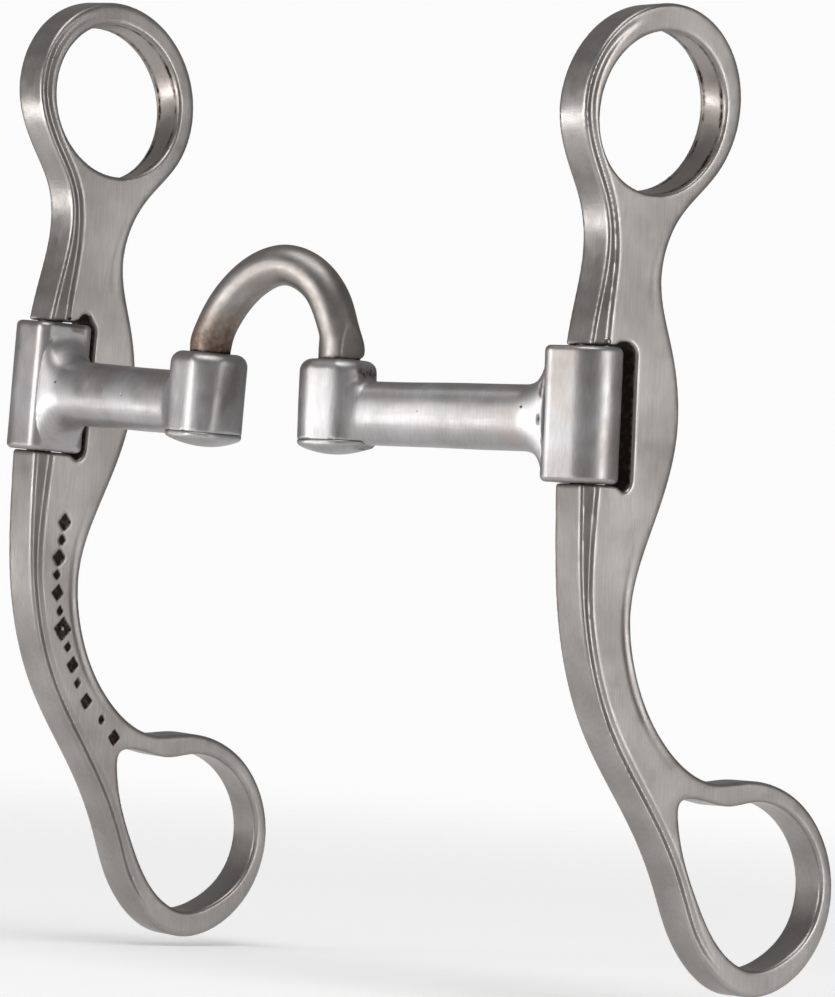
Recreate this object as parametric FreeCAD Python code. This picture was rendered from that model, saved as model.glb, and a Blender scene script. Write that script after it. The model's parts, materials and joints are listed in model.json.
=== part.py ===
"""Loose-cheek curb bit with a bent-rod port and folding mouth bars.

Units are millimetres. X runs across the mouth, Y runs back towards the rein
loops, Z is up. The origin is midway between the two port legs, level with the
axis of the mouth bars.

Every side piece is designed once, for the +X side, in a straight frame of its
own: the bar frame has the port leg on its Z axis and the bar along +X, and the
cheek frame has the hinge pin on its Z axis and the plate in its YZ plane. The
-X side is the mirror image. The stored pose has the bars and shanks folded by
the angles named below.
"""
import FreeCAD, Part
import math
import os

V = FreeCAD.Vector

# mouthpiece
LEG_SPACING = 29.0      # between the port legs at bar level
LEG_LEAN = 1.5          # each leg leans inwards towards the arch, degrees
BAR_LENGTH = 53.0       # leg axis to hinge pin axis
PIN_RISE = 0.9          # the barrel's middle sits this far above the bar's axis
CLEARANCE = 0.05        # radial running clearance on legs and pins

# stored pose, degrees from the straight pose
FOLD = {"left": -23.0, "right": -0.5}      # bar, forwards is positive
TURN_OUT = {"left": 0.0, "right": 25.0}    # shank, loop outwards is positive

# port
ROD_RADIUS = 4.0
LEG_FOOT = -5.0         # lower end of each leg, inside its block
LEG_TOP = 10.6          # where the straight leg becomes the arch
ARCH = [(-12.9, 16.0), (-9.8, 21.2), (-4.6, 26.0), (1.0, 28.0),
        (6.6, 26.5), (11.2, 21.9), (13.6, 16.6)]
ARCH_SECTIONS = 13      # round sections that the arch is lofted through
COLLAR_RADIUS = 5.6
COLLAR_HEIGHT = 2.1

# block at the inner end of each bar
BLOCK_RADIUS = 7.5
BLOCK_FLAT = 6.95       # the ground flats stand this far from the leg axis
BLOCK_TOP = 10.2
BLOCK_BASE = -5.4
BLOCK_TOP_ROUND = 2.0
COUNTERBORE_RADIUS = 5.95
COUNTERBORE_TOP = -2.6
CAP_LOW = -8.2
CAP_SPHERE = 11.0

# bar
BAR_START = 3.0
BAR_RADIUS_INNER = 6.15
BAR_RADIUS_OUTER = 6.45
FLARE_LENGTH = 6.5
FLARE_RADIUS = 10.2

# barrel, the sleeve round the hinge pin
BARREL_RADIUS = 6.6
BARREL_INNER_FACE = 6.9     # from the pin axis to the flat that meets the bar
BARREL_CORNER = 3.0
BARREL_HALF_HEIGHT = 13.0
BARREL_EDGE_ROUND = 0.8
PIN_RADIUS = 2.5
PIN_SEAT = 6.0              # length of pin let into the plate at each end
GROOVE_HALF = 3.3           # half width and depth of the groove the pin is laid in

# shank
PLATE = 8.0
WINDOW_TOP = 14.1
WINDOW_BASE = -14.5
WINDOW_BACK = 8.7
WINDOW_CORNER = 2.5
FRONT_EDGE = [(-0.6, 40.0), (0.6, 33.0), (-1.4, 20.0), (-3.2, 8.0), (-3.5, -20.0),
              (-1.7, -40.0), (5.2, -60.0), (19.2, -80.0), (24.7, -90.0), (29.1, -99.5)]
LOOP_EDGE = [(43.5, -110.6), (58.0, -105.5), (64.9, -90.5), (57.5, -74.2),
             (42.0, -68.8), (33.0, -69.3)]
REAR_EDGE = [(20.5, -62.3), (11.8, -47.5), (10.3, -37.0), (16.1, -18.0),
             (20.2, -2.0), (18.1, 13.0), (14.6, 26.0), (18.3, 38.0)]
LOOP_HOLE = [(24.6, -73.4), (30.0, -72.7), (37.8, -73.8), (44.2, -72.9), (52.0, -74.6),
             (58.5, -80.1), (61.7, -88.7), (59.4, -97.6), (52.4, -103.5),
             (44.3, -105.4), (36.0, -100.8), (30.0, -92.0), (24.4, -77.0)]
RING_Y = 11.2
RING_Z = 59.2
RING_RADIUS = 19.6
RING_START = -35.0          # the round stretch runs from here, degrees above +Y,
RING_SWEEP = 250.0          # over this angle to the front of the neck
RING_HOLE_Z = 58.5
RING_HOLE_RADIUS = 15.6
FLARE_ANGLE = 7.3           # the cheek ring leans outwards
FLARE_START = 41.6          # height of the bend's middle
BEND_RADIUS = 80.0
OUTER_ROUND = 1.4
HOLE_ROUND = 0.8
WELD_RADIUS = 1.7
FAR = 200.0                 # past everything, for cutting tools


def yz_wire(points, closed=False):
    """Smooth curve through (y, z) points in the plane x = 0."""
    curve = Part.BSplineCurve()
    curve.interpolate([V(0, y, z) for y, z in points], PeriodicFlag=closed)
    return curve.toShape()


def centred_box(x0, x1, y0, y1, z0, z1):
    return Part.makeBox(x1 - x0, y1 - y0, z1 - z0, V(x0, y0, z0))


def upright(radius, z0, z1):
    return Part.makeCylinder(radius, z1 - z0, V(0, 0, z0))


def bent_slab():
    """The plate's thickness: upright below, leaning outwards above the bend."""
    half = PLATE / 2
    angle = math.radians(FLARE_ANGLE)
    low = FLARE_START - BEND_RADIUS * math.tan(angle / 2)
    centre = V(BEND_RADIUS, 0, low)

    def on_bend(offset, turn):
        r = BEND_RADIUS - offset
        return centre + V(-r * math.cos(turn), 0, r * math.sin(turn))

    def past_bend(offset):
        return on_bend(offset, angle) + V(math.sin(angle), 0, math.cos(angle)) * FAR

    edges = []
    for offset, base in ((-half, -FAR), (half, -FAR)):
        edges.append(Part.makeLine(V(offset, 0, base), on_bend(offset, 0)))
        edges.append(Part.Arc(on_bend(offset, 0), on_bend(offset, angle / 2),
                              on_bend(offset, angle)).toShape())
        edges.append(Part.makeLine(on_bend(offset, angle), past_bend(offset)))
    edges.append(Part.makeLine(past_bend(-half), past_bend(half)))
    edges.append(Part.makeLine(V(-half, 0, -FAR), V(half, 0, -FAR)))
    wire = Part.Wire(Part.__sortEdges__(edges))
    return Part.Face(wire).extrude(V(0, 2 * FAR, 0)).translated(V(0, -FAR, 0))


def ring_edge(count=9):
    """Points round the outside of the cheek ring, from its back to its front."""
    angles = [math.radians(RING_START + RING_SWEEP * i / (count - 1)) for i in range(count)]
    return [(RING_Y + RING_RADIUS * math.cos(a), RING_Z + RING_RADIUS * math.sin(a))
            for a in angles]


def across(wire):
    """Solid tool with the given side outline, thick enough to pass the bend."""
    return Part.Face(Part.Wire([wire])).extrude(V(8 * PLATE, 0, 0)).translated(V(-4 * PLATE, 0, 0))


def ring_bore():
    lean = math.radians(FLARE_ANGLE)
    along = V(math.cos(lean), 0, -math.sin(lean))
    middle = V(math.tan(lean) * (RING_HOLE_Z - FLARE_START), RING_Y, RING_HOLE_Z)
    return Part.makeCylinder(RING_HOLE_RADIUS, 8 * PLATE, middle - along * 4 * PLATE, along)


def hole_edges(body):
    """Edges round the ring bore and the rein loop's hole, on both faces."""
    found = []
    for edge in body.Edges:
        box = edge.BoundBox
        reach = math.hypot(box.Center.y - RING_Y, box.Center.z - RING_HOLE_Z)
        on_bore = reach < RING_HOLE_RADIUS and PLATE < box.YLength < 2 * RING_HOLE_RADIUS
        on_loop = box.ZMax < LOOP_HOLE[1][1] + 1 and box.YLength > 4 * PLATE
        if (on_bore or on_loop) and box.XLength < PLATE:
            found.append(edge)
    return found


def plate():
    """The shank's plate before the window, with rounded edges."""
    body = across(yz_wire(FRONT_EDGE + LOOP_EDGE + REAR_EDGE + ring_edge(), True))
    body = body.common(bent_slab()).removeSplitter()
    rim = [e for e in body.Edges if e.Curve.TypeId == "Part::GeomBSplineCurve"]
    body = body.makeFillet(OUTER_ROUND, rim)
    body = body.cut(across(yz_wire(LOOP_HOLE, True))).cut(ring_bore())
    return body.makeFillet(HOLE_ROUND, hole_edges(body))


def window():
    """Notch in the front of the plate that the barrel turns in."""
    notch = centred_box(-FAR / 4, FAR / 4, -FAR / 4, WINDOW_BACK, WINDOW_BASE, WINDOW_TOP)
    corners = [e for e in notch.Edges
               if abs(e.BoundBox.YMin - WINDOW_BACK) < 0.01 and e.BoundBox.XLength > FAR / 4]
    return notch.makeFillet(WINDOW_CORNER, corners)


def pin_grooves():
    """Grooves in the front edge above and below the window, upper first."""
    spans = ((WINDOW_TOP, WINDOW_TOP + PIN_SEAT), (WINDOW_BASE - PIN_SEAT, WINDOW_BASE))
    half = GROOVE_HALF
    return [centred_box(-half, half, -PLATE, half, z0, z1) for z0, z1 in spans]


def long_pin():
    return upright(PIN_RADIUS, WINDOW_BASE - PIN_SEAT, WINDOW_TOP + PIN_SEAT)


def hinge_pin(full_plate):
    """Round pin, its seated ends ground flush with the plate's front edge."""
    middle = upright(PIN_RADIUS, WINDOW_BASE, WINDOW_TOP)
    return long_pin().common(full_plate).fuse(middle).removeSplitter()


def welds(full_plate):
    """Weld metal that fills each groove round the pin, with a bead at its mouth."""
    fillings = []
    heights = (WINDOW_TOP + WELD_RADIUS / 2, WINDOW_BASE - WELD_RADIUS / 2)
    for groove, z in zip(pin_grooves(), heights):
        bead = Part.makeSphere(WELD_RADIUS, V(WELD_RADIUS - GROOVE_HALF, -PIN_RADIUS, z))
        filling = groove.common(full_plate).fuse(bead.common(groove))
        fillings.append(filling.cut(long_pin()))
    return fillings


def shank(full_plate):
    body = full_plate.cut(window())
    for groove in pin_grooves():
        body = body.cut(groove)
    return body


def barrel():
    """Sleeve: half round on the outside, squared off where the bar joins it."""
    r, flat, corner = BARREL_RADIUS, BARREL_INNER_FACE, BARREL_CORNER
    z = -BARREL_HALF_HEIGHT
    bend = corner * (1 - math.sqrt(0.5))
    edges = [
        Part.Arc(V(0, -r, z), V(r, 0, z), V(0, r, z)).toShape(),
        Part.makeLine(V(0, r, z), V(corner - flat, r, z)),
        Part.Arc(V(corner - flat, r, z), V(bend - flat, r - bend, z),
                 V(-flat, r - corner, z)).toShape(),
        Part.makeLine(V(-flat, r - corner, z), V(-flat, corner - r, z)),
        Part.Arc(V(-flat, corner - r, z), V(bend - flat, bend - r, z),
                 V(corner - flat, -r, z)).toShape(),
        Part.makeLine(V(corner - flat, -r, z), V(0, -r, z)),
    ]
    body = Part.Face(Part.Wire(edges)).extrude(V(0, 0, 2 * BARREL_HALF_HEIGHT))
    rims = [e for e in body.Edges if e.BoundBox.ZLength < 0.01]
    body = body.makeFillet(BARREL_EDGE_ROUND, rims)
    return body.cut(upright(PIN_RADIUS + CLEARANCE, -FAR / 4, FAR / 4))


def block_outline(z0, z1):
    """Round block with four ground flats, about the leg axis."""
    flats = centred_box(-BLOCK_FLAT, BLOCK_FLAT, -BLOCK_FLAT, BLOCK_FLAT, z0, z1)
    return upright(BLOCK_RADIUS, z0, z1).common(flats)


def block_cap():
    """Domed plug that closes the block under the leg's collar."""
    dome = Part.makeSphere(CAP_SPHERE, V(0, 0, CAP_LOW + CAP_SPHERE))
    return block_outline(CAP_LOW, BLOCK_BASE).common(dome)


def flare():
    """Trumpet where the bar widens to the barrel, ground flat front and back."""
    end = BAR_LENGTH - BARREL_INNER_FACE
    start = end - FLARE_LENGTH
    rise = FLARE_RADIUS - BAR_RADIUS_OUTER
    slope = math.sqrt(0.5)
    curve = Part.BSplineCurve()
    curve.interpolate([V(start, 0, BAR_RADIUS_OUTER),
                       V(start + FLARE_LENGTH * slope, 0, FLARE_RADIUS - rise * slope),
                       V(end, 0, FLARE_RADIUS)],
                      InitialTangent=V(1, 0, 0), FinalTangent=V(0, 0, 1))
    edges = [
        Part.makeLine(V(start, 0, 0), V(start, 0, BAR_RADIUS_OUTER)),
        curve.toShape(),
        Part.makeLine(V(end, 0, FLARE_RADIUS), V(end, 0, 0)),
        Part.makeLine(V(end, 0, 0), V(start, 0, 0)),
    ]
    trumpet = Part.Face(Part.Wire(edges)).revolve(V(0, 0, 0), V(1, 0, 0), 360)
    side = BARREL_RADIUS
    return trumpet.common(centred_box(start, end, -side, side, -FLARE_RADIUS, FLARE_RADIUS))


def mouth_bar():
    end = BAR_LENGTH - BARREL_INNER_FACE
    rod = Part.makeCone(BAR_RADIUS_INNER, BAR_RADIUS_OUTER, end - BAR_START,
                        V(BAR_START, 0, 0), V(1, 0, 0))
    block = block_outline(BLOCK_BASE, BLOCK_TOP)
    top = [e for e in block.Edges if abs(e.BoundBox.ZMin - BLOCK_TOP) < 0.01]
    block = block.makeFillet(BLOCK_TOP_ROUND, top)
    body = rod.fuse(block).fuse(flare()).cut(block_cap())
    body = body.cut(upright(ROD_RADIUS + CLEARANCE, BLOCK_BASE, BLOCK_TOP + 1))
    return body.cut(upright(COUNTERBORE_RADIUS, BLOCK_BASE, COUNTERBORE_TOP))


def port_collar():
    """Head welded round the foot of a leg, which keeps the leg in its block."""
    ring = upright(COLLAR_RADIUS, LEG_FOOT, LEG_FOOT + COLLAR_HEIGHT)
    return ring.cut(upright(ROD_RADIUS, LEG_FOOT - 1, BLOCK_TOP))


def on_leg(side, height):
    """Point on a leg's axis, in the row frame."""
    lean = math.radians(LEG_LEAN)
    x = LEG_SPACING / 2 - height * math.sin(lean)
    return V(side * x, 0, height * math.cos(lean))


def port():
    """Round rod bent into an arch, with a straight leg for each block."""
    lean = math.radians(LEG_LEAN)
    arch = Part.BSplineCurve()
    points = [on_leg(-1, LEG_TOP)] + [V(x, 0, z) for x, z in ARCH] + [on_leg(1, LEG_TOP)]
    rise = V(math.sin(lean), 0, math.cos(lean))
    fall = V(math.sin(lean), 0, -math.cos(lean))
    arch.interpolate(points, InitialTangent=rise, FinalTangent=fall)
    sections = []
    for i in range(ARCH_SECTIONS):
        share = i / (ARCH_SECTIONS - 1)
        u = arch.FirstParameter + share * (arch.LastParameter - arch.FirstParameter)
        circle = Part.makeCircle(ROD_RADIUS, arch.value(u), arch.tangent(u)[0])
        sections.append(Part.Wire([circle]))
    body = Part.makeLoft(sections, True)
    for side, up in ((-1, rise), (1, -fall)):
        leg = Part.makeCylinder(ROD_RADIUS, LEG_TOP - LEG_FOOT, on_leg(side, LEG_FOOT), up)
        body = body.fuse(leg)
    return body.removeSplitter()


def bar_frame(name):
    leg = FreeCAD.Placement(V(LEG_SPACING / 2, 0, 0),
                            FreeCAD.Rotation(V(0, 1, 0), -LEG_LEAN))
    fold = FreeCAD.Placement(V(0, 0, 0), FreeCAD.Rotation(V(0, 0, 1), -FOLD[name]))
    return leg.multiply(fold)


def cheek_frame(name):
    hinge = FreeCAD.Placement(V(BAR_LENGTH, 0, PIN_RISE),
                              FreeCAD.Rotation(V(0, 0, 1), -TURN_OUT[name]))
    return bar_frame(name).multiply(hinge)


def barrel_frame(name):
    return bar_frame(name).multiply(FreeCAD.Placement(V(BAR_LENGTH, 0, PIN_RISE),
                                                      FreeCAD.Rotation()))


def write(node, shape, frame=None, name="right"):
    """Put a piece in its place, mirror it for the left side, and save it."""
    placed = shape.copy()
    if frame:
        placed.Placement = frame(name).multiply(placed.Placement)
    if name == "left":
        placed = placed.mirror(V(0, 0, 0), V(1, 0, 0))
    placed = max(placed.Solids, key=lambda s: s.Volume)
    assert placed.isValid(), node
    placed.exportStep("parts/%s.step" % node)
    print("%-20s %9.1f mm3" % (node, placed.Volume))


os.makedirs("parts", exist_ok=True)
full_plate = plate()
upper_weld, lower_weld = welds(full_plate)
write("port", port())
for name in ("left", "right"):
    write(name + "_port_collar", port_collar(), bar_frame, name)
    write(name + "_mouth_bar", mouth_bar(), bar_frame, name)
    write(name + "_block_cap", block_cap(), bar_frame, name)
    write(name + "_barrel", barrel(), barrel_frame, name)
    write(name + "_shank", shank(full_plate), cheek_frame, name)
    write(name + "_hinge_pin", hinge_pin(full_plate), cheek_frame, name)
    write(name + "_upper_weld", upper_weld, cheek_frame, name)
    write(name + "_lower_weld", lower_weld, cheek_frame, name)
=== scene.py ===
"""Curb bit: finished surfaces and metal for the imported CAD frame.

Each visible piece but the port collars is worked out as a distance field in a
straight frame and turned into a mesh: the bar frame has the port leg on its Z axis and the bar
along +X, and the cheek frame has the hinge pin on its Z axis and the plate in
its YZ plane, +Y towards the back and +X outwards. Those frames are in
millimetres, and are placed in the row frame by the record's joints and mounts.
"""
import json
import math

import bpy
import numpy as np
import openvdb
from mathutils import Matrix, Vector


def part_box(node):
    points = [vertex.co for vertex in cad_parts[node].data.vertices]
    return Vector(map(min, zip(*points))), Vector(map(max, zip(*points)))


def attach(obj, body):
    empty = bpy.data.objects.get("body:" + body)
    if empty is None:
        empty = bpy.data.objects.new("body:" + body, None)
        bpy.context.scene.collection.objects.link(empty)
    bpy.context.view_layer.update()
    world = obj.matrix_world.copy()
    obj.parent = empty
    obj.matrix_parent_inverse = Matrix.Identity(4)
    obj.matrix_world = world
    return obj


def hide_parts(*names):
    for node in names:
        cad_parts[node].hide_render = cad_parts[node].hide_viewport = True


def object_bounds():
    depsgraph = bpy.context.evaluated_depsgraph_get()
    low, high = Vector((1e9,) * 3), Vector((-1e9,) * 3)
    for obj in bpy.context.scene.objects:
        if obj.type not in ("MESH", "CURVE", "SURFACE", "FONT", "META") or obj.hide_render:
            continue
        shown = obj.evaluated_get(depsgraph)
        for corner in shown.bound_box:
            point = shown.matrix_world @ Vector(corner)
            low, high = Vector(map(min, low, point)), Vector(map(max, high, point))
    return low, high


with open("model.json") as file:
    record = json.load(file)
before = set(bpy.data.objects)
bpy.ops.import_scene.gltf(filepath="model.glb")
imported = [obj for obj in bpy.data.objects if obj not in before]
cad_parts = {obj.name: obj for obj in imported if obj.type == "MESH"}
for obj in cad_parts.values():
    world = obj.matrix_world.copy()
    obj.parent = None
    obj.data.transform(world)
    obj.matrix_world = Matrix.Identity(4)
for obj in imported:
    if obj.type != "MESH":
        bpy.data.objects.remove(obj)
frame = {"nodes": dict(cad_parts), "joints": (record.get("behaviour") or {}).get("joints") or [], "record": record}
cad_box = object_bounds()

MM = 0.001
SIDES = ("left", "right")
DESIGN = "design"       # point attribute: the place in the straight frame, mm
DIRT_AND_SHADE = "dirt_and_shade"         # point attribute: dirt and blackening, with painted shade in recesses, creases and gaps between parts, 0 to 1
TINT = "tint"           # point attribute: brown heat tint, 0 to 1

# shank outline, the same as the CAD plate's
FRONT_EDGE = [(-0.6, 40.0), (0.6, 33.0), (-1.4, 20.0), (-3.2, 8.0), (-3.5, -20.0),
              (-1.7, -40.0), (5.2, -60.0), (19.2, -80.0), (24.7, -90.0), (29.1, -99.5)]
LOOP_EDGE = [(43.5, -110.6), (58.0, -105.5), (64.9, -90.5), (57.5, -74.2),
             (42.0, -68.8), (33.0, -69.3)]
REAR_EDGE = [(20.5, -62.3), (11.8, -47.5), (10.3, -37.0), (16.1, -18.0),
             (20.2, -2.0), (18.1, 13.0), (14.6, 26.0), (18.3, 38.0)]
LOOP_HOLE = [(24.6, -73.4), (30.0, -72.7), (37.8, -73.8), (44.2, -72.9), (52.0, -74.6),
             (58.5, -80.1), (61.7, -88.7), (59.4, -97.6), (52.4, -103.5),
             (44.3, -105.4), (36.0, -100.8), (30.0, -92.0), (24.4, -77.0)]
RING_Y, RING_Z, RING_RADIUS = 11.2, 59.2, 19.6
RING_START, RING_SWEEP, RING_POINTS = -35.0, 250.0, 9
RING_HOLE_Z, RING_HOLE_RADIUS = 58.5, 15.6
FLARE_ANGLE = math.radians(7.3)
FLARE_START, BEND_RADIUS = 41.6, 80.0
HALF_PLATE = 4.0
WINDOW = (-14.5, 14.1)
WINDOW_BACK, WINDOW_CORNER = 8.7, 2.5
SHANK_CELL = 0.36       # grid step of the shank's field
EDGE_ROUND = 0.75       # edge round all along the outline

# border along the front edge: a facet that sinks from the edge to a valley, then
# a rise to the flat of the face
BORDER = 2.7            # from the front edge to the flat of the face
FACET = 1.9             # how much wider the border is at the window
FACET_REACH = (24.0, 22.0)      # how far below and above the window it widens
RIDGE = 0.35            # from the front edge to where the facet starts
STEP = 1.0              # width of the rise from the valley to the face
VALLEY_DROP = 0.45
BORDER_ENDS = (-106.0, 76.0)    # lowest and highest place of the border
BORDER_FADE = 8.0
FRONT_SHARE = 9.0       # how far behind the front edge the rear edge's plain round takes over

# lips of the window that come close to the barrel's ends: height, reach and softness
UPPER_LIP = (0.95, 4.0, 0.35)
LOWER_LIP = (1.35, 6.1, 0.45)

# plain punched ornament on the left shank's inner face
MARK_COUNT, MARK_TOP, MARK_PITCH = 13, -27.0, 3.6
MARK_SHARE, MARK_SHIFT = 0.46, 0.6      # place between the front and the rear edge
MARK_BIG, MARK_SMALL, MARK_PLAIN = (2.3, 2.1), (1.0, 0.7), (1.6, 1.35)
MARK_DEPTH = 0.5

# bar, block and barrel
BAR_LENGTH, PIN_RISE = 53.0, 0.9
ROD_RADIUS, PIN_RADIUS, CLEARANCE = 4.0, 2.5, 0.05
BLOCK_RADIUS, BLOCK_FLAT = 7.5, 6.95
BLOCK_TOP, BLOCK_BASE, CAP_LOW, CAP_SPHERE = 10.2, -5.4, -8.2, 17.0
BAR_RADII = (6.15, 6.45)
BARREL_RADIUS, BARREL_FACE, BARREL_CORNER, BARREL_HALF = 6.6, 6.9, 2.4, 13.0
OVERLAP = 1.0           # how far the flare runs into the barrel's rounded corner
FLARE_FILLET, FLARE_EDGE = 5.6, 2.6
BLOCK_FILLET = 1.7
SEAM_X = BAR_LENGTH - BARREL_FACE
BAR_CELL = 0.3          # grid step of the bar's field

# port, welds and hinge pins
PORT_CELL, WELD_CELL, PIN_CELL = 0.28, 0.16, 0.22       # grid steps of their fields
BEAD_COUNT, BEAD_PITCH, BEAD_GAP = 10, 0.38, 0.15       # the gap is to the barrel's end
PIN_REACH = BARREL_HALF + 0.8


# ---------------------------------------------------------------- fields

def spline(points, steps=14):
    """Closed smooth curve through the points, with chord-length parameters."""
    p = np.array(points, float)
    n = len(p)
    after = np.roll(p, -1, 0) - p
    h = np.hypot(after[:, 0], after[:, 1])
    system, right = np.zeros((n, n)), np.zeros((n, 2))
    for i in range(n):
        a, b = h[i - 1], h[i]
        system[i, (i - 1) % n] = b
        system[i, i] = 2 * (a + b)
        system[i, (i + 1) % n] = a
        right[i] = 3 * (b * after[i - 1] / a + a * after[i] / b)
    slope = np.linalg.solve(system, right)
    curve = []
    for i in range(n):
        j = (i + 1) % n
        for t in np.arange(steps) / steps:
            curve.append((2 * t**3 - 3 * t**2 + 1) * p[i] + (t**3 - 2 * t**2 + t) * h[i] * slope[i]
                         + (3 * t**2 - 2 * t**3) * p[j] + (t**3 - t**2) * h[i] * slope[j])
    return np.array(curve)


def outline_distance(curve, y, z):
    """Signed distance to a closed polyline, negative inside."""
    start, end = curve, np.roll(curve, -1, 0)
    span = end - start
    length2 = (span**2).sum(1)
    extent = np.broadcast_shapes(y.shape, z.shape)
    best = np.full(extent, 1e9)
    inside = np.zeros(extent, bool)
    for (ay, az), (dy, dz), l2 in zip(start, span, length2):
        t = np.clip(((y - ay) * dy + (z - az) * dz) / l2, 0, 1)
        best = np.minimum(best, (y - ay - t * dy) ** 2 + (z - az - t * dz) ** 2)
        if dz:
            crosses = (az > z) != (az + dz > z)
            inside = inside ^ (crosses & (y < ay + (z - az) * dy / dz))
    return np.where(inside, -1, 1) * np.sqrt(best)


def both(a, b, r):
    """Intersection with an edge round of radius r."""
    return np.minimum(np.maximum(a, b), -r) + np.hypot(np.maximum(a + r, 0), np.maximum(b + r, 0))


def join(a, b, r):
    """Union with a fillet of radius r."""
    return np.maximum(np.minimum(a, b), r) - np.hypot(np.maximum(r - a, 0), np.maximum(r - b, 0))


def cut(a, tool, r):
    return both(a, -tool, r)


def waves(x, y, z, size, seed):
    """Smooth uneven field between about -1 and 1, for hand-ground surfaces."""
    rng = np.random.default_rng(seed)
    total = np.zeros(np.broadcast_shapes(np.shape(x), np.shape(y), np.shape(z)))
    for _ in range(6):
        k = rng.normal(size=3)
        k *= rng.uniform(0.6, 1.6) * 2 * math.pi / size / np.linalg.norm(k)
        total = total + np.sin(k[0] * x + k[1] * y + k[2] * z + rng.uniform(0, 2 * math.pi))
    return total / 3.5


def axes_of(low, high, cell):
    """Open grid axes that cover the box, with a margin for the surface."""
    axes = [np.arange(a - 3 * cell, b + 4 * cell, cell) for a, b in zip(low, high)]
    return np.meshgrid(*axes, indexing="ij", sparse=True)


def surface(name, field, low, cell, to_row, colours, bend=None):
    """Mesh the zero level of a field, and place it in the row frame."""
    grid = openvdb.FloatGrid()
    grid.background = 3 * cell
    grid.copyFromArray(np.ascontiguousarray(np.clip(field, -3 * cell, 3 * cell), dtype=np.float32))
    points, quads = grid.convertToQuads(0.0)
    points = points * cell + (np.array(low) - 3 * cell)
    quads = quads.astype(np.int32)
    shape = bend(points) if bend else points
    matrix = np.array(to_row)
    placed = shape @ matrix[:3, :3].T + matrix[:3, 3]
    if np.linalg.det(matrix[:3, :3]) < 0:
        quads = quads[:, ::-1]
    mesh = bpy.data.meshes.new(name)
    mesh.vertices.add(len(placed))
    mesh.vertices.foreach_set("co", placed.astype(np.float32).ravel())
    mesh.loops.add(quads.size)
    mesh.loops.foreach_set("vertex_index", np.ascontiguousarray(quads).ravel())
    mesh.polygons.add(len(quads))
    mesh.polygons.foreach_set("loop_start", np.arange(0, quads.size, 4, dtype=np.int32))
    mesh.polygons.foreach_set("use_smooth", np.ones(len(quads), bool))
    mesh.update(calc_edges=True)
    mesh.validate()
    place = mesh.attributes.new(DESIGN, "FLOAT_VECTOR", "POINT")
    place.data.foreach_set("vector", points.astype(np.float32).ravel())
    for attribute, values in colours(*points.T).items():
        layer = mesh.attributes.new(attribute, "FLOAT", "POINT")
        layer.data.foreach_set("value", np.clip(values, 0, 1).astype(np.float32))
    piece = bpy.data.objects.new(name, mesh)
    bpy.context.scene.collection.objects.link(piece)
    return piece


# ---------------------------------------------------------------- frames

joints = {j["name"]: j for j in frame["joints"]}
mounts = {m["name"]: m for m in frame["record"]["mounts"]}


def basis(origin, outwards, up, side):
    """Matrix from a straight frame in millimetres to the row frame in metres."""
    back = up.cross(outwards) if side == "right" else outwards.cross(up)
    m = Matrix.Identity(4)
    for column, axis in enumerate((outwards, back, up)):
        m.col[column] = Vector((*(axis * MM), 0))
    m.col[3] = Vector((*origin, 1))
    return m


def frames(side):
    """The bar's and the cheek's straight frames at rest."""
    leg, hinge = joints[side + "_bar_fold"], joints[side + "_shank_swivel"]
    up = Vector(leg["axis"])
    up = (up if up.z > 0 else -up).normalized()
    along = Vector(hinge["pos_m"]) - Vector(leg["pos_m"])
    along = (along - up * along.dot(up)).normalized()
    plate = Vector(mounts[side + "_rein_loop"]["axis"])
    plate = (plate - up * plate.dot(up)).normalized()
    bar = basis(Vector(leg["pos_m"]), along, up, side)
    cheek = basis(Vector(hinge["pos_m"]), plate, up, side)
    return bar, cheek


# ---------------------------------------------------------------- shank

def ring_edge():
    turn = np.radians(RING_START + RING_SWEEP * np.arange(RING_POINTS) / (RING_POINTS - 1))
    return list(zip(RING_Y + RING_RADIUS * np.cos(turn), RING_Z + RING_RADIUS * np.sin(turn)))


def lean(z):
    """Sideways place and slope angle of the plate's middle at height z."""
    low = FLARE_START - BEND_RADIUS * math.tan(FLARE_ANGLE / 2)
    turn = np.arcsin(np.clip((z - low) / BEND_RADIUS, 0, math.sin(FLARE_ANGLE)))
    past = np.maximum(z - low - BEND_RADIUS * math.sin(FLARE_ANGLE), 0)
    return BEND_RADIUS * (1 - np.cos(turn)) + past * math.tan(FLARE_ANGLE), turn


def flare_out(points):
    """The cheek ring's outward lean, with the heights kept."""
    offset, turn = lean(points[:, 2])
    bent = points.copy()
    bent[:, 0] = offset + points[:, 0] / np.cos(turn)
    return bent


def face_height(depth, y, z):
    """Half the plate's thickness, at a depth in from the outline."""
    edge = np.interp(z, FRONT_LINE[:, 1], FRONT_LINE[:, 0])
    front = 1 / (1 + np.exp(-(edge + FRONT_SHARE - y) / 1.2))
    front = front * np.clip((BORDER_ENDS[1] - z) / BORDER_FADE, 0, 1)
    front = front * np.clip((z - BORDER_ENDS[0]) / BORDER_FADE, 0, 1)
    gap = np.maximum(np.maximum(WINDOW[0] - z, z - WINDOW[1]), 0)
    reach = np.where(z > 0, FACET_REACH[1], FACET_REACH[0])
    border = BORDER + FACET * np.clip(1 - gap / reach, 0, 1) ** 1.3
    valley = border - STEP
    facet = np.clip((depth - RIDGE) / (valley - RIDGE), 0, 1)
    rise = np.clip((depth - valley) / STEP, 0, 1)
    sunk = VALLEY_DROP * facet * (1 - rise * rise * (3 - 2 * rise))
    plain = 0.12 * np.clip(1 - depth / 1.8, 0, 1) ** 2
    return HALF_PLATE - front * sunk - (1 - front) * plain


def edge_line(points):
    """The points of an edge in order of height, for interpolation."""
    return np.array(sorted(points, key=lambda p: p[1]))


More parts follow.
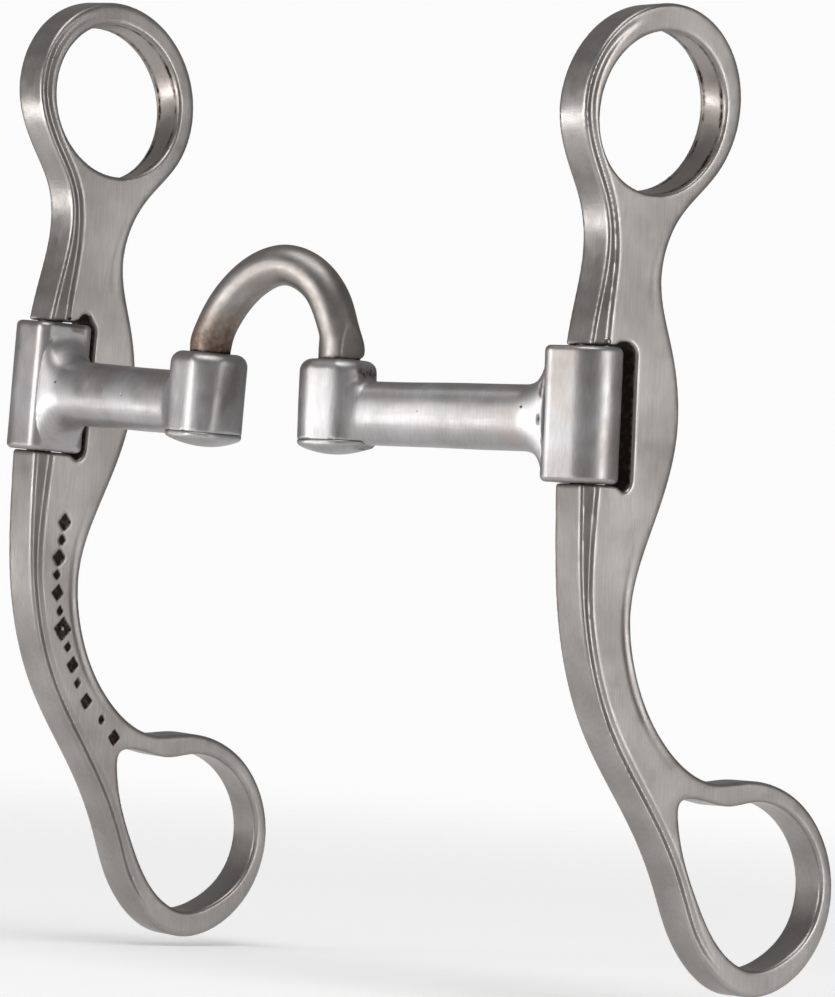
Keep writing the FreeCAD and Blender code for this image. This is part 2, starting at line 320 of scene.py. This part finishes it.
def marks():
    """Places of the plain punched ornament: (y, z, half length, half width)."""
    found = []
    for i in range(MARK_COUNT):
        z = MARK_TOP - MARK_PITCH * i
        front = np.interp(z, FRONT_LINE[:, 1], FRONT_LINE[:, 0])
        rear = np.interp(z, REAR_LINE[:, 1], REAR_LINE[:, 0])
        size = MARK_SMALL if i % 2 else MARK_PLAIN
        if i == MARK_COUNT // 2:
            size = MARK_BIG
        found.append((front + MARK_SHARE * (rear - front) + MARK_SHIFT, z, *size))
    return found


def punched(y, z):
    """Distance-like value of the nearest punch mark, negative inside."""
    nearest = np.full(np.broadcast_shapes(np.shape(y), np.shape(z)), 9.0)
    for my, mz, a, b in MARKS:
        lozenge = (np.abs(z - mz) / a + np.abs(y - my) / b - 1) * min(a, b) * 0.8
        if (a, b) == MARK_BIG:
            lozenge = np.maximum(lozenge, 0.55 - np.hypot(y - my, z - mz))
        nearest = np.minimum(nearest, lozenge)
    return nearest


outer = spline(FRONT_EDGE + LOOP_EDGE + REAR_EDGE + ring_edge())
loop_hole = spline(LOOP_HOLE)


RING_FRONT = [(-7.4, 52.0), (-8.4, 60.0), (-6.0, 70.0), (3.0, 77.0)]
FRONT_LINE = edge_line(FRONT_EDGE + RING_FRONT)
REAR_LINE = edge_line(REAR_EDGE + LOOP_EDGE[-1:])
MARKS = marks()


def lip(y, height, reach, softness):
    return height / (1 + np.exp((y - reach) / softness))


def window_tool(y, z, side):
    """The window in the plate, closer to the barrel at the plate's front edge.

    The left one has a round relief in its upper rear corner."""
    top = WINDOW[1] - lip(y, *UPPER_LIP)
    base = WINDOW[0] + lip(y, *LOWER_LIP)
    half, middle = (top - base) / 2, (top + base) / 2
    r = WINDOW_CORNER
    a = y - WINDOW_BACK + r
    b = np.abs(z - middle) - half + r
    tool = np.hypot(np.maximum(a, 0), np.maximum(b, 0)) + np.minimum(np.maximum(a, b), 0) - r
    if side == "left":
        relief = np.hypot(y - WINDOW_BACK + 2.6, z - WINDOW[1] + 0.2) - 1.25
        tool = join(tool, relief, 0.6)
    return tool + 0.04 * waves(0, y, z, 7.0, 5)


def shank(side, to_row):
    """The cheek plate: ring, window, swept neck and rein loop."""
    low = (-HALF_PLATE, -9.6, -111.2)
    high = (HALF_PLATE, 66.0, 79.4)
    x, y, z = axes_of(low, high, SHANK_CELL)
    y2, z2 = y[0], z[0]
    rim = outline_distance(outer, y2, z2)
    loop = outline_distance(loop_hole, y2, z2)
    depth = -rim
    half = face_height(depth, y2, z2) + 0.03 * waves(0, y2, z2, 22.0, 11)
    body = both(rim[None], np.abs(x) - half[None], EDGE_ROUND)
    centre = RING_HOLE_Z - x * math.tan(FLARE_ANGLE) / math.cos(FLARE_ANGLE)
    bore = np.hypot(y - RING_Y, (z - centre) / math.cos(FLARE_ANGLE)) - RING_HOLE_RADIUS
    body = cut(body, bore, 0.55)
    body = cut(body, loop[None], 0.75)
    body = cut(body, window_tool(y2, z2, side)[None], 0.55)
    if side == "left":
        punch = punched(y2, z2)[None]
        body = np.maximum(body, -np.maximum(punch, x + HALF_PLATE - MARK_DEPTH))
        notch = np.hypot(y + 7.2 - 0.08 * x, z - 42.5) - 1.4
        body = cut(body, np.maximum(notch, -x - 1.2), 0.2)

    def colours(px, py, pz):
        inside = np.clip((3.7 - np.abs(px)) / 0.8, 0, 1)
        # painted shade in the window's recess, with some brown tint
        opening = window_recess_mask(py, pz, side) * inside
        # darker lines round the ring bore's wall, 1.4 mm in from each face
        bored = np.abs(np.hypot(py - RING_Y, pz - RING_HOLE_Z + px * math.tan(FLARE_ANGLE))
                       - RING_HOLE_RADIUS)
        wall = np.clip(1 - bored / 0.5, 0, 1)
        line = wall * np.exp(-(((np.abs(px) - 2.6) / 0.4) ** 2))
        line = line * (0.65 + 0.5 * waves(px, py, pz, 6.0, 13))
        dirt_and_shade = np.maximum(opening, line)
        if side == "left":
            sunk = np.clip((0.25 - punched(py, pz)) / 0.3, 0, 1) * (px < -HALF_PLATE + 1.0)
            dirt_and_shade = np.maximum(dirt_and_shade, sunk)
        return {DIRT_AND_SHADE: dirt_and_shade, TINT: 0.35 * opening + 0.25 * wall}

    return surface(side + "_cheek_plate", body, low, SHANK_CELL, to_row, colours, flare_out)


def window_recess_mask(y, z, side):
    """How deep in the window's recess a place is, for painted shade and some brown tint there."""
    near = np.clip(1.3 - (window_tool(y, z, side) + 0.1) / 0.4, 0, 1)
    return near * np.clip((y - 0.5) / 1.5, 0, 1)


# ---------------------------------------------------------------- bar

def block(x, y, z):
    """The hand-ground block on the port leg: two flats each way and a domed foot."""
    column = both(np.hypot(x, y) - BLOCK_RADIUS,
                  both(np.abs(x + 0.05 * z) - BLOCK_FLAT, np.abs(y) - BLOCK_FLAT, 1.2), 0.5)
    dome = np.sqrt(x**2 + y**2 + (z - CAP_LOW - CAP_SPHERE) ** 2) - CAP_SPHERE
    corner = (0.62 * (np.abs(x) + np.abs(y)) - z) * 0.75 - 10.4
    column = both(column, z - BLOCK_TOP, 2.4)
    return both(both(column, dome, 0.5), corner, 0.4)


def bar_and_barrel(x, y, z):
    """The bar with its block and its flare, and the plain barrel sleeve."""
    share = np.clip((x - 3) / 43, 0, 1)
    rod = np.hypot(y, z) - (BAR_RADII[0] + (BAR_RADII[1] - BAR_RADII[0]) * share)
    rod = np.maximum(rod, np.maximum(-x, x - BAR_LENGTH + 2))
    bx, bz = x - BAR_LENGTH, z - PIN_RISE
    qx, qy = -bx - (BARREL_FACE - BARREL_CORNER), np.abs(y) - (BARREL_RADIUS - BARREL_CORNER)
    square = (np.hypot(np.maximum(qx, 0), np.maximum(qy, 0))
              + np.minimum(np.maximum(qx, qy), 0) - BARREL_CORNER)
    sleeve = np.where(bx < 0, square, np.hypot(bx, y) - BARREL_RADIUS)
    sleeve = both(sleeve, np.abs(bz) - BARREL_HALF, 1.1)
    whole = join(rod, sleeve, FLARE_FILLET)
    whole = both(whole, np.abs(y) - BARREL_RADIUS, FLARE_EDGE)
    whole = np.maximum(whole, np.abs(bz) - BARREL_HALF)
    return join(whole, block(x, y, z), BLOCK_FILLET), sleeve


def crack_depth(y, z, side):
    """How deep the joint between bar and barrel stays open, in two or three places."""
    reach = np.clip((9.0 - np.abs(z - PIN_RISE)) / 2, 0, 1)
    open_part = np.clip(waves(0, y, z, 7.0, 24 if side == "right" else 25) - 0.35, 0, 1)
    return (0.6 if side == "right" else 0.15) * reach * open_part


def bar_pieces(side, to_row):
    """Bar, barrel and block cap, parted along their seams."""
    low = (-BLOCK_RADIUS, -BLOCK_RADIUS, -PIN_RISE - BARREL_HALF + 1)
    high = (BAR_LENGTH + BARREL_RADIUS, BLOCK_RADIUS, PIN_RISE + BARREL_HALF)
    x, y, z = axes_of(low, high, BAR_CELL)
    seed = 3 if side == "left" else 4
    uneven = 0.06 * waves(x, y, z, 16.0, seed)
    whole, sleeve = (part + uneven for part in bar_and_barrel(x, y, z))
    leg_hole = np.hypot(x, y) - ROD_RADIUS - CLEARANCE
    leg_hole = np.maximum(leg_hole, BLOCK_BASE - z)
    whole = cut(whole, leg_hole, 0.2)
    pin_hole = np.hypot(x - BAR_LENGTH, y) - PIN_RADIUS - CLEARANCE
    sleeve = cut(sleeve, pin_hole, 0.2)
    crack = crack_depth(y, z, side)
    wander = 0.25 * waves(0, y, z, 5.0, 8)
    seam = np.hypot(np.maximum(np.abs(x - SEAM_X - wander) - 0.1, 0),
                    np.maximum(-whole - crack, 0)) - 0.1
    whole = np.where(crack > 0.05, np.maximum(whole, -seam), whole)
    body = np.maximum(whole, x - SEAM_X - OVERLAP)
    body = np.where(x < BLOCK_RADIUS, np.maximum(body, BLOCK_BASE - z), body)
    barrel = np.maximum(sleeve, SEAM_X - x)
    cap = np.maximum(np.maximum(whole, z - BLOCK_BASE), x - BLOCK_RADIUS)

    def colours(px, py, pz):
        seamed = np.exp(-(((px - SEAM_X) / 0.22) ** 2))
        seamed = seamed * np.clip(crack_depth(py, pz, side) * 3, 0, 1)
        # painted shade in the crease where the block meets the bar
        corner = np.exp(-((px - 7.2) ** 2 + (np.abs(pz) - 7.6) ** 2) / 1.6) * 0.55
        # painted shade round the port leg, on the block's top where the leg goes in
        leg = np.clip(1.2 - (np.hypot(px, py) - ROD_RADIUS) / 0.5, 0, 1) * 0.8 * (pz > 0)
        # painted shade round the pin hole, between barrel and pin
        pin = np.clip(1.2 - (np.hypot(px - BAR_LENGTH, py) - PIN_RADIUS) / 0.6, 0, 1)
        # painted shade on the barrel's ends, in the narrow gap to the window's lips
        barrel_end_shade = np.clip((np.abs(pz - PIN_RISE) - BARREL_HALF + 0.5) / 0.6, 0, 1)
        barrel_end_shade = barrel_end_shade * (px > SEAM_X) * 0.4
        dirt_and_shade = np.maximum.reduce([seamed, corner, leg, pin, barrel_end_shade])
        return {DIRT_AND_SHADE: dirt_and_shade, TINT: 0.3 * np.clip(waves(px, py, pz, 14.0, seed + 7), 0, 1)}

    pieces = {}
    for kind, field in (("mouth_bar", body), ("barrel", barrel), ("block_cap", cap)):
        pieces[kind] = surface("%s_%s_ground" % (side, kind), field, low, BAR_CELL, to_row, colours)
    return pieces


# ---------------------------------------------------------------- port and welds

def level_set_of(node, cell, low, high):
    """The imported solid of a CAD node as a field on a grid, in millimetres."""
    mesh = frame["nodes"][node].data
    mesh.calc_loop_triangles()
    points = np.array([v.co for v in mesh.vertices], np.float32) / MM
    triangles = np.array([t.vertices for t in mesh.loop_triangles], np.uint32)
    transform = openvdb.createLinearTransform(voxelSize=cell)
    grid = openvdb.FloatGrid.createLevelSetFromPolygons(points, triangles=triangles,
                                                        transform=transform, halfWidth=4.0)
    first = [int(round(v / cell)) - 3 for v in low]
    last = [int(round(v / cell)) + 3 for v in high]
    array = np.zeros([b - a + 1 for a, b in zip(first, last)], np.float32)
    grid.copyToArray(array, ijk=first)
    axes = [np.arange(a, b + 1) * cell for a, b in zip(first, last)]
    x, y, z = np.meshgrid(*axes, indexing="ij", sparse=True)
    return array, x, y, z, [f * cell + 3 * cell for f in first]


def port_rod():
    """The bent rod, with the flat sliver ground on its right leg."""
    low, high = ([v / MM for v in corner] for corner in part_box("port"))
    field, x, y, z, first = level_set_of("port", PORT_CELL, low, high)
    field = field + 0.04 * waves(x, y, z, 12.0, 31)
    sliver = (x - 13.9) * 0.92 - y * 0.39 - 3.8
    field = both(field, sliver + 0.006 * (z - 13) ** 2, 0.2)

    def colours(px, py, pz):
        foot = np.clip((21 - pz) / 10, 0, 1) * np.clip(-px / 6, 0, 1)
        inner = np.clip((24 - np.hypot(px, pz - 12)) / 8, 0, 1) * 0.12
        # painted shade on the rod just above the block's top, where it goes into the block
        ring = np.clip(1 - (pz - BLOCK_TOP) / 0.7, 0, 1) * 0.8
        return {DIRT_AND_SHADE: np.maximum(ring, 0.3 * foot), TINT: np.maximum(foot, inner)}

    scale = Matrix.Scale(MM, 4)
    return surface("port_rod", field, first, PORT_CELL, scale, colours)


def weld_beads(side, end, to_row):
    """Lumps of weld metal beside the pin, between the window's end and the barrel."""
    level, up, seed = (WINDOW[1], 1, 1) if end == "upper" else (WINDOW[0], -1, 2)
    rng = np.random.default_rng(SIDES.index(side) * 10 + seed)
    low = (-HALF_PLATE, -2.2, level - 2.5)
    high = (HALF_PLATE, 5.2, level + 2.5)
    x, y, z = axes_of(low, high, WELD_CELL)
    field = np.full(np.broadcast_shapes(x.shape, y.shape, z.shape), 9.0)
    for i in range(BEAD_COUNT):
        face = 1 if i % 2 else -1
        bx = face * rng.uniform(2.3, 3.3)
        by = -0.2 + BEAD_PITCH * i + rng.uniform(-0.3, 0.3)
        r = rng.uniform(0.6, 0.95)
        bz = up * (BARREL_HALF + BEAD_GAP + r + rng.uniform(0, 0.25))
        ball = np.sqrt((x - bx) ** 2 + (y - by) ** 2 + (z - bz) ** 2) - r
        field = join(field, ball, 0.45)
    field = field + 0.08 * waves(x, y, z, 1.8, 55)
    pin = np.hypot(x, y) - PIN_RADIUS
    field = np.maximum(field, -pin)

    def colours(px, py, pz):
        return {DIRT_AND_SHADE: 0.35 + 0.5 * waves(px, py, pz, 1.5, 56), TINT: np.full_like(px, 0.2)}

    return surface("%s_%s_weld_beads" % (side, end), field, low, WELD_CELL, to_row, colours)


def hinge_pin(side, to_row):
    """The pin between the window's lips, with turning marks on it."""
    high = (PIN_RADIUS, PIN_RADIUS, PIN_REACH)
    low = tuple(-v for v in high)
    x, y, z = axes_of(low, high, PIN_CELL)
    field = both(np.hypot(x, y) - PIN_RADIUS, np.abs(z) - PIN_REACH, 0.3)
    field = field + 0.02 * np.sin(z * 9.0)

    def colours(px, py, pz):
        return {DIRT_AND_SHADE: 0.45 + 0.3 * waves(px, py, pz, 3.0, 61), TINT: np.full_like(px, 0.5)}

    return surface(side + "_pin_turned", field, low, PIN_CELL, to_row, colours)


# ---------------------------------------------------------------- metal

HEAT_BROWN = (0.30, 0.215, 0.16)
# dark colour for dirt, and for painted shade in recesses and gaps
DIRT_AND_SHADE_TONE = (0.042, 0.030, 0.024)
PIT_DARK = (0.03, 0.028, 0.026)


def nodes_of(material):
    material.use_nodes = True
    return material.node_tree.nodes, material.node_tree.links


def add(tree_nodes, kind, **values):
    node = tree_nodes.new("ShaderNode" + kind)
    for key, value in values.items():
        if key in node.inputs:
            node.inputs[key].default_value = value
        else:
            setattr(node, key, value)
    return node


def ramp(nodes, low, high, dark, light):
    node = add(nodes, "ValToRGB")
    node.color_ramp.elements[0].position = low
    node.color_ramp.elements[1].position = high
    node.color_ramp.elements[0].color = (*dark, 1)
    node.color_ramp.elements[1].color = (*light, 1)
    return node


def steel(name, dark, light, streak, roughness, pits=0.0):
    """Satin steel: streaks along a direction, cloudy colour, dirt with painted shade, tint and pits.

    streak is the noise scale per millimetre along X, Y and Z, and pits a depth."""
    material = bpy.data.materials.new(name)
    nodes, links = nodes_of(material)
    shader = nodes["Principled BSDF"]
    shader.inputs["Metallic"].default_value = 1.0
    place = add(nodes, "Attribute", attribute_name=DESIGN)
    dirt_and_shade = add(nodes, "Attribute", attribute_name=DIRT_AND_SHADE)
    tint = add(nodes, "Attribute", attribute_name=TINT)

    def noise(scale, detail, stretch=None, rough=0.5):
        node = add(nodes, "TexNoise", Scale=scale, Detail=detail, Roughness=rough)
        source = place.outputs["Vector"]
        if stretch:
            mapping = add(nodes, "Mapping", Scale=stretch)
            links.new(source, mapping.inputs["Vector"])
            source = mapping.outputs["Vector"]
        links.new(source, node.inputs["Vector"])
        return node.outputs["Fac"]

    def math_node(operation, a, b):
        node = add(nodes, "Math", operation=operation)
        for socket, value in zip(node.inputs, (a, b)):
            if isinstance(value, (int, float)):
                socket.default_value = value
            else:
                links.new(value, socket)
        return node.outputs[0]

    def mix(factor, a, b):
        node = add(nodes, "MixRGB")
        for socket, value in zip(node.inputs, (factor, a, b)):
            if isinstance(value, (int, float)):
                socket.default_value = value
            elif isinstance(value, tuple):
                socket.default_value = (*value, 1)
            else:
                links.new(value, socket)
        return node.outputs[0]

    brushed = noise(1.0, 6.0, streak, 0.62)
    fine = noise(2.3, 5.0, streak, 0.7)
    cloud = noise(0.07, 4.0)
    patch = noise(0.22, 5.0)
    clouds = ramp(nodes, 0.38, 0.66, dark, light)
    links.new(cloud, clouds.inputs[0])
    streaks = ramp(nodes, 0.3, 0.75, (0.78,) * 3, (1.08,) * 3)
    links.new(brushed, streaks.inputs[0])
    colour = add(nodes, "MixRGB", blend_type="MULTIPLY", Fac=0.75)
    links.new(clouds.outputs[0], colour.inputs[1])
    links.new(streaks.outputs[0], colour.inputs[2])
    brown = math_node("MULTIPLY", tint.outputs["Fac"], math_node("ADD", patch, 0.35))
    colour = mix(brown, colour.outputs[0], HEAT_BROWN)
    speckle = ramp(nodes, 0.44, 0.6, (0, 0, 0), (1, 1, 1))
    links.new(noise(0.9, 4.0), speckle.inputs[0])
    # the dark mix: dirt, and painted shade where the attribute marks recesses, creases and gaps
    dirt_and_shade_amount = math_node("MULTIPLY", dirt_and_shade.outputs["Fac"], math_node("ADD", speckle.outputs[0], 0.9))
    dirt_and_shade_amount.node.use_clamp = True
    colour = mix(dirt_and_shade_amount, colour, DIRT_AND_SHADE_TONE)

    gloss = add(nodes, "MapRange")
    gloss.inputs["From Min"].default_value = 0.3
    gloss.inputs["From Max"].default_value = 0.7
    gloss.inputs["To Min"].default_value = roughness - 0.06
    gloss.inputs["To Max"].default_value = roughness + 0.07
    links.new(patch, gloss.inputs["Value"])
    dulled = math_node("ADD", gloss.outputs["Result"], math_node("MULTIPLY", dirt_and_shade_amount, 0.35))
    fine_part = math_node("MULTIPLY", fine, 0.12)
    uneven_part = math_node("SUBTRACT", fine_part, 0.06)
    links.new(math_node("ADD", dulled, uneven_part), shader.inputs["Roughness"])

    brush_height = math_node("MULTIPLY", brushed, 0.010)
    height = math_node("ADD", brush_height, math_node("MULTIPLY", fine, 0.006))
    height = math_node("ADD", height, math_node("MULTIPLY", patch, 0.03))
    if pits:
        holes = add(nodes, "TexVoronoi", Scale=0.16)
        links.new(place.outputs["Vector"], holes.inputs["Vector"])
        hole = ramp(nodes, 0.02, 0.055, (1, 1, 1), (0, 0, 0))
        links.new(holes.outputs["Distance"], hole.inputs[0])
        picked = ramp(nodes, 0.56, 0.6, (0, 0, 0), (1, 1, 1))
        links.new(cloud, picked.inputs[0])
        pit = math_node("MULTIPLY", hole.outputs[0], picked.outputs[0])
        height = math_node("SUBTRACT", height, math_node("MULTIPLY", pit, pits))
        colour = mix(math_node("MULTIPLY", pit, 0.9), colour, PIT_DARK)
    links.new(colour, shader.inputs["Base Color"])
    bump = add(nodes, "Bump", Strength=0.55, Distance=MM)
    links.new(height, bump.inputs["Height"])
    links.new(bump.outputs["Normal"], shader.inputs["Normal"])
    return material


def turned_steel(name):
    """Dull machined steel for the port collars, on row coordinates."""
    material = bpy.data.materials.new(name)
    nodes, links = nodes_of(material)
    shader = nodes["Principled BSDF"]
    shader.inputs["Metallic"].default_value = 1.0
    place = add(nodes, "TexCoord")
    mapping = add(nodes, "Mapping", Scale=(300.0, 300.0, 4200.0))
    links.new(place.outputs["Object"], mapping.inputs["Vector"])
    lines = add(nodes, "TexNoise", Scale=1.0, Detail=4.0)
    links.new(mapping.outputs["Vector"], lines.inputs["Vector"])
    colour = ramp(nodes, 0.35, 0.7, (0.16, 0.14, 0.125), (0.34, 0.32, 0.30))
    links.new(lines.outputs["Fac"], colour.inputs[0])
    links.new(colour.outputs[0], shader.inputs["Base Color"])
    gloss = add(nodes, "MapRange")
    gloss.inputs["To Min"].default_value = 0.3
    gloss.inputs["To Max"].default_value = 0.6
    links.new(lines.outputs["Fac"], gloss.inputs["Value"])
    links.new(gloss.outputs["Result"], shader.inputs["Roughness"])
    bump = add(nodes, "Bump", Strength=0.3, Distance=0.02 * MM)
    links.new(lines.outputs["Fac"], bump.inputs["Height"])
    links.new(bump.outputs["Normal"], shader.inputs["Normal"])
    return material


STEELS = {              # dark, light, streak, roughness and pits
    "shank_steel": ((0.31, 0.289, 0.275), (0.40, 0.382, 0.367), (3.2, 3.2, 0.16), 0.36),
    "bar_steel": ((0.37, 0.357, 0.353), (0.47, 0.462, 0.465), (3.0, 0.35, 0.35), 0.41, 0.5),
    "port_steel": ((0.25, 0.234, 0.222), (0.34, 0.324, 0.312), (0.6, 0.6, 0.6), 0.42, 0.3),
    "weld_metal": ((0.30, 0.28, 0.26), (0.50, 0.48, 0.46), (1.2, 1.2, 1.2), 0.28),
    "pin_steel_turned": ((0.20, 0.18, 0.165), (0.34, 0.32, 0.30), (0.3, 0.3, 4.0), 0.4),
}
METALS = {name: steel(name, *look) for name, look in STEELS.items()}
METALS["pin_steel"] = turned_steel("pin_steel")


def finish_piece(piece, body, metal, node):
    """Give a piece its metal, and let it ride on a body in place of a CAD node."""
    piece.data.materials.append(METALS[metal])
    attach(piece, body)
    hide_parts(node)


for side in SIDES:
    bar_frame, cheek_frame = frames(side)
    cheek = side + "_cheek"
    finish_piece(shank(side, cheek_frame), cheek, "shank_steel", side + "_shank")
    for end in ("upper", "lower"):
        beads = weld_beads(side, end, cheek_frame)
        finish_piece(beads, cheek, "weld_metal", "%s_%s_weld" % (side, end))
    finish_piece(hinge_pin(side, cheek_frame), cheek, "pin_steel_turned", side + "_hinge_pin")
    for kind, piece in bar_pieces(side, bar_frame).items():
        finish_piece(piece, side + "_bar", "bar_steel", "%s_%s" % (side, kind))
finish_piece(port_rod(), "port", "port_steel", "port")
for side in SIDES:
    collar = frame["nodes"][side + "_port_collar"]
    collar.data.materials.clear()
    collar.data.materials.append(METALS["pin_steel"])


# ---------------------------------------------------------------- stage

FLOOR_SOLID, FLOOR_RADIUS = 0.22, 0.85      # the floor fades into the white surround
FLOOR_DROP = 0.002      # below the CAD box
FLOOR_WHITE = (0.90, 0.90, 0.90)
FLOOR_GLOW = 0.3
CAMERA_AZIMUTH = 26.81      # degrees to the right of the front
CAMERA_ROLL = 3.72
CAMERA_DISTANCE = 1.19
CAMERA_TARGET = Vector((0.0323, 0.0017, -0.0156))
LENS = 223.42
SOFTBOXES = {       # degrees to the right of the camera, elevation, distance, size, power
    "left_softbox": (-66, -2, 1.6, (0.75, 1.3), 13),
    "right_softbox": (62, -4, 1.6, (0.5, 1.3), 11),
    "top_softbox": (-10, 72, 1.7, (1.4, 1.0), 14),
    "low_softbox": (-72, -13, 1.5, (2.2, 0.14), 15),
}
GROUND_TONE = (0.13, 0.127, 0.123)      # what the metal reflects, from below to above
HORIZON_TONE = (0.285, 0.28, 0.275)
SKY_TONE = (0.24, 0.24, 0.245)


def matte(name, colour):
    """Plain pale paper that fades out round its rim."""
    material = bpy.data.materials.new(name)
    nodes, links = nodes_of(material)
    shader = nodes["Principled BSDF"]
    shader.inputs["Roughness"].default_value = 0.9
    shader.inputs["Emission Color"].default_value = (1, 1, 1, 1)
    shader.inputs["Emission Strength"].default_value = FLOOR_GLOW
    place = add(nodes, "TexCoord")
    grain = add(nodes, "TexNoise", Scale=3.0, Detail=3.0)
    links.new(place.outputs["Object"], grain.inputs["Vector"])
    tone = ramp(nodes, 0.3, 0.7, [c * 0.985 for c in colour], colour)
    links.new(grain.outputs["Fac"], tone.inputs[0])
    links.new(tone.outputs[0], shader.inputs["Base Color"])
    reach = add(nodes, "VectorMath", operation="LENGTH")
    links.new(place.outputs["Object"], reach.inputs[0])
    fade = add(nodes, "MapRange", interpolation_type="SMOOTHSTEP")
    fade.inputs["From Min"].default_value = FLOOR_SOLID
    fade.inputs["From Max"].default_value = FLOOR_RADIUS
    fade.inputs["To Min"].default_value = 1.0
    fade.inputs["To Max"].default_value = 0.0
    links.new(reach.outputs["Value"], fade.inputs["Value"])
    links.new(fade.outputs["Result"], shader.inputs["Alpha"])
    return material


def floor():
    height = cad_box[0][2] - FLOOR_DROP
    mesh = bpy.data.meshes.new("floor")
    count = 96
    turns = [2 * math.pi * i / count for i in range(count)]
    ring = [(FLOOR_RADIUS * math.cos(t), FLOOR_RADIUS * math.sin(t), height) for t in turns]
    mesh.from_pydata(ring, [], [list(range(count))])
    plane = bpy.data.objects.new("floor", mesh)
    bpy.context.scene.collection.objects.link(plane)
    mesh.materials.append(matte("floor_white", FLOOR_WHITE))


def softbox(name, azimuth, elevation, distance, size, power):
    """Area light that looks at the object; azimuth is from the front, to the right."""
    a, e = math.radians(azimuth), math.radians(elevation)
    direction = Vector((math.sin(a) * math.cos(e), -math.cos(a) * math.cos(e), math.sin(e)))
    light = bpy.data.lights.new(name, "AREA")
    light.shape = "RECTANGLE"
    light.size, light.size_y = size
    light.energy = power
    lamp = bpy.data.objects.new(name, light)
    lamp.location = direction * distance
    lamp.rotation_euler = direction.to_track_quat("Z", "Y").to_euler()
    bpy.context.scene.collection.objects.link(lamp)


def surroundings():
    """White to the camera, and a gradient for everything else."""
    world = bpy.data.worlds.new("studio")
    bpy.context.scene.world = world
    world.use_nodes = True
    nodes, links = world.node_tree.nodes, world.node_tree.links
    back = nodes["Background"]
    place = add(nodes, "TexCoord")
    split = add(nodes, "SeparateXYZ")
    links.new(place.outputs["Generated"], split.inputs[0])
    tone = ramp(nodes, 0.0, 1.0, GROUND_TONE, SKY_TONE)
    horizon = tone.color_ramp.elements.new(0.42)
    horizon.color = (*HORIZON_TONE, 1)
    lift = add(nodes, "MapRange")
    lift.inputs["From Min"].default_value = -0.4
    lift.inputs["From Max"].default_value = 0.7
    links.new(split.outputs["Z"], lift.inputs["Value"])
    links.new(lift.outputs["Result"], tone.inputs[0])
    links.new(tone.outputs[0], back.inputs["Color"])
    white = add(nodes, "Background", Color=(0.97, 0.97, 0.97, 1))
    path = add(nodes, "LightPath")
    mixer = add(nodes, "MixShader")
    links.new(path.outputs["Is Camera Ray"], mixer.inputs[0])
    links.new(back.outputs[0], mixer.inputs[1])
    links.new(white.outputs[0], mixer.inputs[2])
    links.new(mixer.outputs[0], nodes["World Output"].inputs["Surface"])


def camera():
    """Level camera with a slight roll, on the photo's bearing."""
    data = bpy.data.cameras.new("camera")
    data.sensor_fit = "VERTICAL"
    data.sensor_height = 36.0
    data.lens = LENS
    a = math.radians(CAMERA_AZIMUTH)
    back = Vector((math.sin(a), -math.cos(a), 0))
    level = Vector((math.cos(a), math.sin(a), 0))
    roll = math.radians(CAMERA_ROLL)
    right = level * math.cos(roll) + Vector((0, 0, 1)) * math.sin(roll)
    up = back.cross(right)
    matrix = Matrix.Identity(4)
    for column, axis in enumerate((right, up, back)):
        matrix.col[column] = Vector((*axis, 0))
    matrix.col[3] = Vector((*(CAMERA_TARGET + back * CAMERA_DISTANCE), 1))
    view = bpy.data.objects.new("camera", data)
    view.matrix_world = matrix
    bpy.context.scene.collection.objects.link(view)
    bpy.context.scene.camera = view


floor()
for name, (turn, *rest) in SOFTBOXES.items():
    softbox(name, CAMERA_AZIMUTH + turn, *rest)
surroundings()
camera()
bpy.context.scene.view_settings.view_transform = "Standard"
